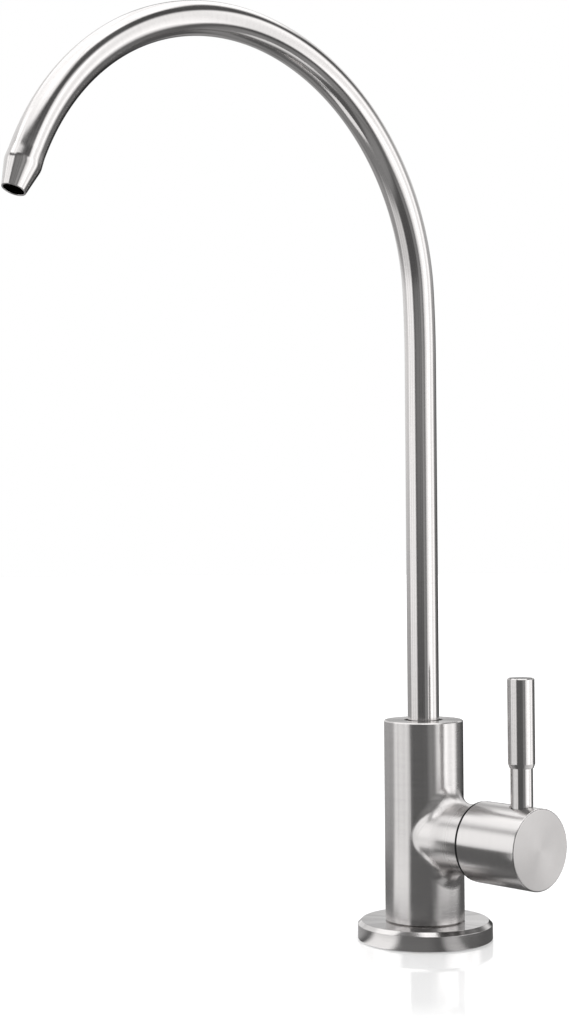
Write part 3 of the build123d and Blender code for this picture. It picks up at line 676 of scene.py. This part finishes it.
finish_metal(body_tree, body_shader, tone, rough, height, steel_tint, body_relief)
body_around = mixed(body_tree, on_stub, column_around, stub_around, "VECTOR")
lay_grain(body_tree, body_shader, body_around)
dress(body_steel, "valve_body")


# Valve cartridge
# A brass barrel that a threaded ring holds in the stub. Its stem turns one ceramic disc on
# another through a quarter turn, and rubber rings keep the water in.
brass_tint = (0.74, 0.53, 0.27)
valve_brass = turned_metal("valve_brass", "X", valve_axis, radius=9.3, tint=brass_tint,
                           roughness=0.3, grain=0.35, lines=4.0)
dress(valve_brass, "cartridge_body", "cartridge_nut", "valve_stem")
red_rubber = moulded("red_rubber", (0.32, 0.035, 0.02), (0.4, 0.07, 0.045), 0.55)
dress(red_rubber, "seat_seal")
ceramic = moulded("lapped_ceramic", (0.82, 0.8, 0.76), (0.88, 0.87, 0.84), 0.22,
                  grain=0.0001, relief=0.05)
dress(ceramic, "fixed_disc", "moving_disc")
white_plastic = moulded("white_plastic", (0.78, 0.78, 0.76), (0.7, 0.69, 0.66), 0.4)
dress(white_plastic, "stem_thrust_washer")
dress(black_rubber, "cartridge_o_ring", "stem_o_ring_inner", "stem_o_ring_outer")
clip_steel = turned_metal("clip_steel", "X", valve_axis, radius=5.0, tint=(0.5, 0.49, 0.47),
                          roughness=0.35, grain=0.2)
dress(clip_steel, "stem_clip")


# Spout
# A stainless steel tube bent in one sweep and drawn down to a nozzle, belt polished across
# its length. It is pressed into a brass ferrule that turns in the column on two rubber
# rings and a plastic washer, and a grub screw behind keeps it in.
tube_foot, tube_rise = node_box("spout_tube")[0][2], 123.7
bends = ((320.0, math.radians(3.8)), (76.1, math.radians(153.7)))     # radius and angle
tube_radius, tube_bore = 4.92, 4.02
swollen_radius, nozzle_radius, nozzle_bore = 5.12, 3.38, 2.83
nozzle_lead, nozzle_length = 3.4, 7.6
swell_round, neck_round = 25.0, 6.0
foot_round, neck_bore_round, rim_round = 0.1, 0.3, 0.2
tube_step = 2.0


def spout_line(reach):
    """The tube's middle line: it climbs, swings forward through the bends and runs straight
    on. In a bend its slope grows by the distance over the radius, its height by the radius
    times the growth of the slope's sine, and its way forward by the radius times the fall of
    the slope's cosine."""
    height = np.minimum(reach, tube_rise)
    beyond, slope, forward = reach - height, np.zeros_like(reach), np.zeros_like(reach)
    for radius, angle in bends:
        before, slope = slope, slope + np.clip(beyond / radius, 0, angle)
        height = height + radius * (np.sin(slope) - np.sin(before))
        forward = forward + radius * (np.cos(before) - np.cos(slope))
        beyond = np.maximum(beyond - radius * angle, 0)
    none = np.zeros_like(reach)
    centre = np.stack([none, -forward, tube_foot + height], -1)
    along = np.stack([none, -np.sin(slope), np.cos(slope)], -1)
    side = np.ones((len(reach), 1)) * (1, 0, 0)
    return centre + along * beyond[:, None], side, np.cross(along, side), along


def closer(outline, normals, step):
    """Divides the outline's runs, so that no point is further than the step from the next:
    each run is cut into equal parts, and the normal goes over evenly along it."""
    parts = np.maximum(1, np.ceil(np.abs(np.roll(outline, -1) - outline) / step)).astype(int)
    index = np.repeat(np.arange(len(outline)), parts)
    share = (np.arange(parts.sum()) - (np.cumsum(parts) - parts)[index]) / parts[index]
    after = (index + 1) % len(outline)
    return (outline[index] + share * (outline[after] - outline[index]),
            normals[index] + share * (normals[after] - normals[index]))


bend_end = tube_rise + sum(radius * angle for radius, angle in bends)
neck = bend_end + nozzle_lead
tube_points, tube_normals = closer(*rounded_outline((
    (tube_radius, 0, foot_round),
    (tube_radius, bend_end, swell_round),
    (swollen_radius, neck, neck_round),
    (nozzle_radius, neck + nozzle_length, rim_round),
    (nozzle_bore, neck + nozzle_length, rim_round),
    (tube_bore, neck, neck_bore_round),
    (tube_bore, 0, foot_round),
)), tube_step)
spout = skin("bent_spout", *round_surface(tube_points, tube_normals, spout_line),
             tube_points.imag, "spout", brushed)

# The tube's lines follow the bend, so they are laid on its own UV map
tube_lines, tube_roughness, tube_relief = 3.0, 0.14, 0.2
tube_steel, tube_tree, tube_shader = metal_tree("tube_steel", 0.5)
wrap_place = put(tube_tree, "UVMap", uv_map="wrap").outputs[0]
wrap_parts = put(tube_tree, "SeparateXYZ", {0: wrap_place}).outputs
tube_turn = math_of(tube_tree, "MULTIPLY", wrap_parts["X"], 2 * math.pi)
tube_vector = put(tube_tree, "CombineXYZ", {
    "X": math_of(tube_tree, "COSINE", tube_turn),
    "Y": math_of(tube_tree, "SINE", tube_turn),
    "Z": wrap_parts["Y"],
}).outputs[0]
tube_marks = lines_on(tube_tree, tube_vector, tube_lines, tube_roughness)
finish_metal(tube_tree, tube_shader, tube_marks["Tone"], tube_marks["Roughness"],
             tube_marks["Height"], steel_tint, tube_relief)
tube_around = put(tube_tree, "Tangent", direction_type="UV_MAP", uv_map="wrap").outputs[0]
tube_tree.links.new(tube_around, tube_shader.inputs["Tangent"])
spout.data.materials.append(tube_steel)
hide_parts("spout_tube")

ferrule_brass = turned_metal("ferrule_brass", "Z", upright_axis, radius=6.0, tint=brass_tint,
                             roughness=0.28, grain=0.35, lines=4.0)
dress(ferrule_brass, "spout_ferrule")
dress(black_rubber, "spout_o_ring_lower", "spout_o_ring_upper")
dress(white_plastic, "spout_thrust_washer")
screw_tint = (0.42, 0.41, 0.4)
spout_screw_axis = (0, 0, 55.75)
spout_screw_steel = turned_metal("spout_screw_steel", "Y", spout_screw_axis, radius=2.0,
                                 tint=screw_tint, roughness=0.32, grain=0.3, lines=5.0)
dress(spout_screw_steel, "spout_grub_screw")


# Handle
# A steel cup turned from bar that closes the stub and turns on a black ring in the seam. A
# grub screw in its underside locks it on the valve's stem. Its flat end is finished matt.
hub_radius, hub_end = 12.2, node_box("handle_hub")[1][0]
face_from, face_to = hub_end - 0.06, hub_end - 0.01
face_roughness = 0.27     # what the flat end has more than the side
hub_steel = turned_metal("hub_steel", "X", valve_axis, hub_radius, grain=0.5)
hub_tree = hub_steel.node_tree
hub_shader = hub_tree.nodes["Principled BSDF"]
face_rough = step_of(hub_tree, place_along(hub_tree, "X"), face_from, face_to, 0.0,
                     face_roughness)
side_rough = hub_shader.inputs["Roughness"].links[0].from_socket
hub_rough = math_of(hub_tree, "ADD", side_rough, face_rough)
hub_tree.links.new(hub_rough, hub_shader.inputs["Roughness"])
dress(hub_steel, "handle_hub")
black_plastic = moulded("black_plastic", (0.006, 0.006, 0.0065), (0.012, 0.012, 0.013), 0.6,
                        grain=0.0002, relief=0.15)
plastic_shader = black_plastic.node_tree.nodes["Principled BSDF"]
plastic_shader.inputs["Specular IOR Level"].default_value = 0.15
dress(black_plastic, "handle_glide_ring")
grip_low, grip_high = node_box("lever_grip")
lever_x = (grip_low[0] + grip_high[0]) / 2
lever_axis = (lever_x, 0, 0)
handle_screw_steel = turned_metal("handle_screw_steel", "Z", lever_axis, radius=2.5,
                                  tint=screw_tint, roughness=0.32, grain=0.3, lines=5.0)
dress(handle_screw_steel, "handle_grub_screw")


# Lever
# A thin steel rod screwed into the hub and a thicker grip pushed on its upper end, both
# turned and polished brighter than the hub.
screw_radius, rod_radius, tenon_radius = 2.5, 3.35, 2.6
rod_foot, rod_top = (corner[2] for corner in node_box("lever_rod"))
grip_foot, grip_top = grip_low[2], grip_high[2]
screw_top = 44.4
rod_chamfer, rod_round = 0.2, 0.1
rod_outline = (
    (0, rod_foot, 0),
    (screw_radius - rod_chamfer, rod_foot, edge_round),
    (screw_radius, rod_foot + rod_chamfer, edge_round),
    (screw_radius, screw_top, edge_round),
    (rod_radius, screw_top, rod_round),
    (rod_radius, grip_foot, rod_round),
    (tenon_radius, grip_foot, edge_round),
    (tenon_radius, rod_top - rod_chamfer, edge_round),
    (tenon_radius - rod_chamfer, rod_top, edge_round),
    (0, rod_top, 0),
)
grip_radius, grip_bore, bore_top = 4.05, 2.65, 75.0
bevel_width, bevel_height, top_chamfer = 0.5, 1.3, 0.3
bore_round, grip_round, bevel_round = 0.1, 0.12, 0.3
grip_outline = (
    (0, bore_top, 0),
    (grip_bore, bore_top, bore_round),
    (grip_bore, grip_foot, edge_round),
    (grip_radius - bevel_width, grip_foot, grip_round),
    (grip_radius, grip_foot + bevel_height, bevel_round),
    (grip_radius, grip_top - top_chamfer, grip_round),
    (grip_radius - top_chamfer, grip_top, grip_round),
    (0, grip_top, 0),
)
lever_steel = turned_metal("lever_steel", "Z", lever_axis, radius=4.0, roughness=0.16)
for piece_name, outline, node in (
    ("lever_shaft", rod_outline, "lever_rod"), ("lever_sleeve", grip_outline, "lever_grip"),
):
    # The outline ends in poles, and one point of each pole's corner is kept
    points, normals = (part[corner_steps:-corner_steps] for part in rounded_outline(outline))
    piece = skin(piece_name, *round_surface(points, normals, upright(lever_x)), points.imag,
                 "lever", brushed, poles=True)
    piece.data.materials.append(lever_steel)
    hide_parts(node)


# Threaded shank
# The brass rod that hangs from the column through the worktop. A 7/16 inch thread of 24
# turns to the inch is cut along it, and the filter's tube goes up into its lower end.
thread_pitch, thread_depth = 25.4 / 24, 0.62
flank_slope, crest_width = 1.25, 0.15
shank_low, shank_high = node_box("threaded_shank")
shank_radius, shank_foot, shank_top = shank_high[0], shank_low[2], shank_high[2]
shank_bore, tube_socket, socket_floor = 3.0, 3.3, -38.0
shank_chamfer = 0.6
thread_step, plain_step = thread_pitch / 8, 8.0     # between the rows of points
shank_points, shank_normals = rounded_outline((
    (shank_radius - shank_chamfer, shank_foot, edge_round),
    (shank_radius, shank_foot + shank_chamfer, edge_round),
    (shank_radius, shank_top - shank_chamfer, edge_round),
    (shank_radius - shank_chamfer, shank_top, edge_round),
    (shank_bore, shank_top, edge_round),
    (shank_bore, socket_floor, edge_round),
    (tube_socket, socket_floor, edge_round),
    (tube_socket, shank_foot, edge_round),
), steps=3)
on_thread = shank_points.real > shank_radius - edge_round
shank_points, shank_normals = closer(shank_points, shank_normals,
                                     np.where(on_thread, thread_step, plain_step))
shank_places, _ = round_surface(shank_points, shank_normals, upright(0), around=64)


def cut_thread(places):
    """Cuts a helical groove into a grid of places round the tap's axis. The place between two
    roots of the thread is the height over the pitch less the turn. The depth grows evenly
    with the distance from the middle between them, but is zero on a narrow crest there and
    full in a narrow root."""
    turns = np.arctan2(places[..., 1], places[..., 0]) / (2 * np.pi)
    between_roots = (places[..., 2] / thread_pitch - turns) % 1
    from_crest = np.abs(2 * between_roots - 1)
    depth = thread_depth * np.clip(flank_slope * from_crest - crest_width, 0, 1)
    radii = np.hypot(places[..., 0], places[..., 1])
    share = np.minimum(radii, shank_radius - depth) / radii
    return places * np.stack([share, share, np.ones_like(share)], -1)


def grid_normals(places):
    """Each place's normal, which stands on the lines to its neighbours along and round."""
    normals = np.cross(
        np.roll(places, -1, 1) - np.roll(places, 1, 1),
        np.roll(places, -1, 0) - np.roll(places, 1, 0),
    )
    return normals / np.linalg.norm(normals, axis=-1, keepdims=True)


threaded = cut_thread(shank_places)
shank = skin("screw_cut_shank", threaded, grid_normals(threaded), shank_points.imag, "base",
             "brass")
shank_brass = turned_metal("shank_brass", "Z", upright_axis, radius=5.5, tint=brass_tint,
                           roughness=0.3, grain=0.3, lines=4.0)
shank.data.materials.append(shank_brass)
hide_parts("threaded_shank")
dress(black_rubber, "shank_seal")


# Clamp under the worktop
# A rubber and a steel washer, a toothed lock washer and a brass nut on the shank, which
# pull the flange down on the worktop from below.
dress(black_rubber, "deck_rubber_washer")
washer_steel = turned_metal("washer_steel", "Z", upright_axis, radius=15.0,
                            tint=(0.55, 0.55, 0.54), roughness=0.34, grain=0.2, lines=2.0)
dress(washer_steel, "deck_steel_washer", "lock_washer")
nut_brass = turned_metal("nut_brass", "Z", upright_axis, radius=9.0, tint=brass_tint,
                         roughness=0.3, grain=0.3, lines=2.5)
dress(nut_brass, "mounting_nut")


# Inlet
# A brass nut at the shank's lower end that squeezes a plastic sleeve onto the filter's
# tube, so that the joint holds and keeps tight.
dress(nut_brass, "inlet_compression_nut")
dress(white_plastic, "inlet_sleeve")
